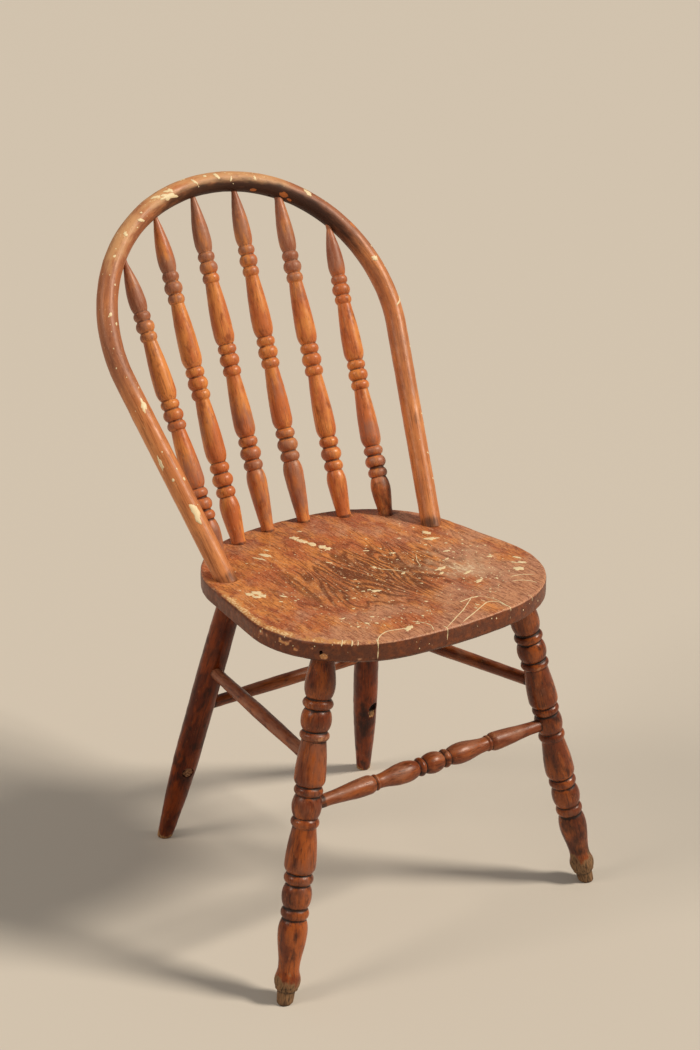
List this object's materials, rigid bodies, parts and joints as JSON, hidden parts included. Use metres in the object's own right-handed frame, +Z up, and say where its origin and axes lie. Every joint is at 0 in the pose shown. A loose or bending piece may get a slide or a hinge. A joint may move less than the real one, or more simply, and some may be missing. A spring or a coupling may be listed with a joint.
{
  "type": "bow-back kitchen chair",
  "caption": "Worn wooden side chair with a dished plank seat, turned front legs and a bent bow back filled with turned spindles, for one person to sit on.",
  "frame": {"origin": "on the floor, under the middle of the chair's overall width and depth", "axes": "+Z up, the front of the seat faces -Y, +X to the right as seen from the front"},
  "size_m": [0.4978, 0.574, 0.8827],
  "materials": {
    "seat": "worn red-brown varnish over hardwood, dirt and cream paint spots",
    "bow": "worn red-brown varnish, rubbed to bare wood along the top",
    "spindles": "orange-brown varnish, dull and pinkish at the tops",
    "front_legs": "dark red-brown varnish, feet worn to grey bare wood",
    "back_legs": "dark brown varnish",
    "stretchers": "dark red-brown varnish, worn dull on top",
    "broken_wood": "bare splintered end grain"
  },
  "bodies": {
    "root": {"seat": "seat", "back_bow": "bow", "spindle_1": "spindles", "spindle_2": "spindles", "spindle_3": "spindles", "spindle_4": "spindles", "spindle_5": "spindles", "spindle_6": "spindles", "front_leg_left": "front_legs", "front_leg_right": "front_legs", "back_leg_left": "back_legs", "back_leg_right": "back_legs", "front_stretcher": "stretchers", "side_stretcher_left": "stretchers", "side_stretcher_right": "stretchers", "back_stretcher": "stretchers", "lower_stub_left": "broken_wood", "lower_stub_right": "broken_wood"}
  },
  "joints": []
}
